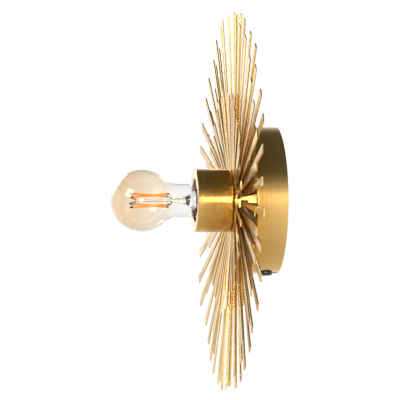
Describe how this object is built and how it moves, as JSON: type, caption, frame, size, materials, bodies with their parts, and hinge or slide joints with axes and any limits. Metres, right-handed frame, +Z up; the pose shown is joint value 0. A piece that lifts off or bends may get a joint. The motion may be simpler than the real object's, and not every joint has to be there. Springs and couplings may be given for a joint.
{
  "type": "sunburst wall lamp",
  "caption": "Sunburst wall lamp: round brushed-brass base, burst of flat brass strips, socket collar and an amber screw-in globe bulb with LED filaments.",
  "frame": {"origin": "centre of the wall face, on the lamp's axis, in the plane of the base's open back", "axes": "+Z up on the wall, +Y into the wall, the bulb points along -Y"},
  "size_m": [0.3624, 0.16, 0.365],
  "materials": {
    "zinc_steel": "zinc-plated steel",
    "brushed_brass": "brushed brass, clear lacquered",
    "strip_brass": "satin pale brass strip",
    "contact_brass": "plain brass",
    "tinned_copper": "tinned copper",
    "black_knob": "black moulded plastic",
    "grommet_rubber": "black rubber",
    "white_nylon": "natural white nylon",
    "brown_wire": "brown PVC insulation",
    "blue_wire": "blue PVC insulation",
    "green_yellow_wire": "green and yellow PVC insulation",
    "clear_sleeve": "woven glass-fibre sleeving",
    "porcelain": "brown-glazed porcelain",
    "amber_glass": "amber tinted blown glass",
    "clear_glass": "clear glass",
    "black_glass": "black vitrite",
    "nickel_cap": "nickel-plated brass",
    "solder": "dull tin solder",
    "filament": "orange phosphor coating on a narrow LED strip",
    "circuit_board": "green circuit board",
    "capacitor": "sleeved electrolytic capacitor"
  },
  "bodies": {
    "wall_mount": {"wall_bracket": "zinc_steel", "bracket_rivet_nuts": "zinc_steel", "cable_grommet": "grommet_rubber", "bracket_earth_screw": "zinc_steel", "bracket_earth_washer": "zinc_steel"},
    "lamp_body": {"base_cover": "brushed_brass", "threaded_rod": "zinc_steel", "rear_nut": "zinc_steel", "lock_washer": "zinc_steel", "carrier_plate": "zinc_steel", "earth_tag": "tinned_copper", "terminal_block": "white_nylon", "terminal_clamps": "contact_brass", "terminal_screws": "zinc_steel", "terminal_block_screw": "zinc_steel", "live_wire": "brown_wire", "neutral_wire": "blue_wire", "earth_wire": "green_yellow_wire", "wire_sleeve": "clear_sleeve", "long_rays": "strip_brass", "short_rays": "strip_brass", "rear_hub_disc": "zinc_steel", "front_hub_disc": "zinc_steel", "hub_spacer_ring": "zinc_steel", "burst_spacer": "brushed_brass", "collar_spacer": "brushed_brass", "socket_collar": "brushed_brass", "collar_face_ring": "brushed_brass", "lampholder_body": "porcelain", "lampholder_shell": "contact_brass", "lampholder_contact": "contact_brass", "lampholder_lugs": "contact_brass", "lampholder_lug_screws": "zinc_steel", "lampholder_fixing_screws": "zinc_steel"},
    "lower_screw_travel": {"side_screw_lower_washer": "zinc_steel"},
    "lower_screw": {"side_screw_lower": "zinc_steel", "side_screw_lower_knob": "black_knob"},
    "upper_screw_travel": {"side_screw_upper_washer": "zinc_steel"},
    "upper_screw": {"side_screw_upper": "zinc_steel"},
    "bulb_travel": {"bulb_contact": "solder"},
    "bulb": {"bulb_glass": "amber_glass", "bulb_cap": "nickel_cap", "bulb_insulator": "black_glass", "bulb_stem": "clear_glass", "bulb_filaments": "filament", "bulb_filament_clips": "nickel_cap", "bulb_support_wires": "nickel_cap", "bulb_driver_board": "circuit_board", "bulb_driver_capacitor": "capacitor"}
  },
  "joints": [
    {"name": "lamp_lift_off", "type": "slide", "parent": "wall_mount", "child": "lamp_body", "axis": [0, -1, 0], "range_m": [0, 0.06]},
    {"name": "lower_screw_out", "type": "slide", "parent": "wall_mount", "child": "lower_screw_travel", "axis": [0.2924, 0, -0.9563], "range_m": [0, 0.0042]},
    {"name": "lower_screw_turn", "type": "hinge", "parent": "lower_screw_travel", "child": "lower_screw", "pos_m": [0.0209, -0.012, -0.06838], "axis": [0.2924, 0, -0.9563], "range_deg": [0, 2160]},
    {"name": "upper_screw_out", "type": "slide", "parent": "wall_mount", "child": "upper_screw_travel", "axis": [-0.2924, 0, 0.9563], "range_m": [0, 0.0042]},
    {"name": "upper_screw_turn", "type": "hinge", "parent": "upper_screw_travel", "child": "upper_screw", "pos_m": [-0.0209, -0.012, 0.06838], "axis": [-0.2924, 0, 0.9563], "range_deg": [0, 2160]},
    {"name": "bulb_out", "type": "slide", "parent": "lamp_body", "child": "bulb_travel", "axis": [0, -1, 0], "range_m": [0, 0.02]},
    {"name": "bulb_turn", "type": "hinge", "parent": "bulb_travel", "child": "bulb", "pos_m": [0, -0.066, 0], "axis": [0, -1, 0], "range_deg": [0, 1980]}
  ],
  "couplings": [
    {"joint": "lower_screw_turn", "follows": "lower_screw_out", "rad_per_m": 8975},
    {"joint": "upper_screw_turn", "follows": "upper_screw_out", "rad_per_m": 8975},
    {"joint": "bulb_out", "follows": "bulb_turn", "m_per_rad": 0.00057757}
  ]
}
